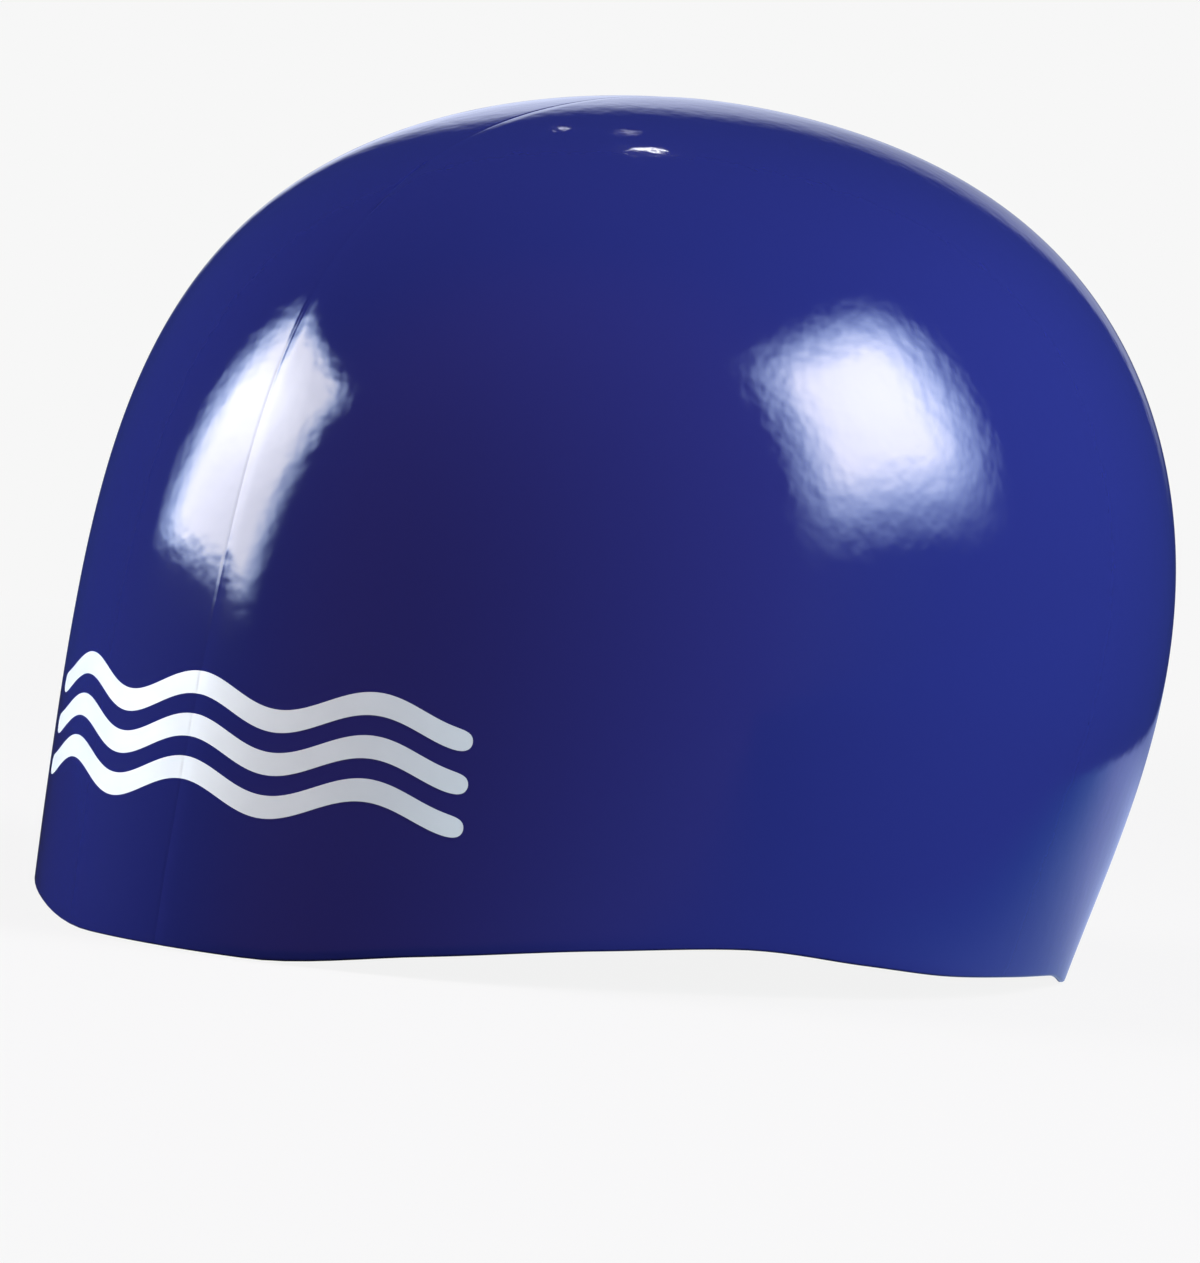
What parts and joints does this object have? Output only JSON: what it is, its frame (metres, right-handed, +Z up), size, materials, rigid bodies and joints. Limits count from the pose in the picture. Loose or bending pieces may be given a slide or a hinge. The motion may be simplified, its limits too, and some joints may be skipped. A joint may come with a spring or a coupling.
{
  "type": "swim cap",
  "caption": "One-piece moulded silicone racing swim cap: a deep glossy dome with a drawn-in nape, a rim arched over the temples and a fine parting line, open below for the head.",
  "frame": {"origin": "on the surface the cap rests on, under the middle of its length and width", "axes": "+Z up, the forehead faces -Y, the back of the head +Y, the wearer's left side +X"},
  "size_m": [0.156, 0.2004, 0.1342],
  "materials": {
    "silicone": "glossy moulded silicone, royal blue",
    "print_ink": "white screen print on silicone"
  },
  "bodies": {
    "root": {"cap_shell": "silicone"}
  },
  "joints": []
}
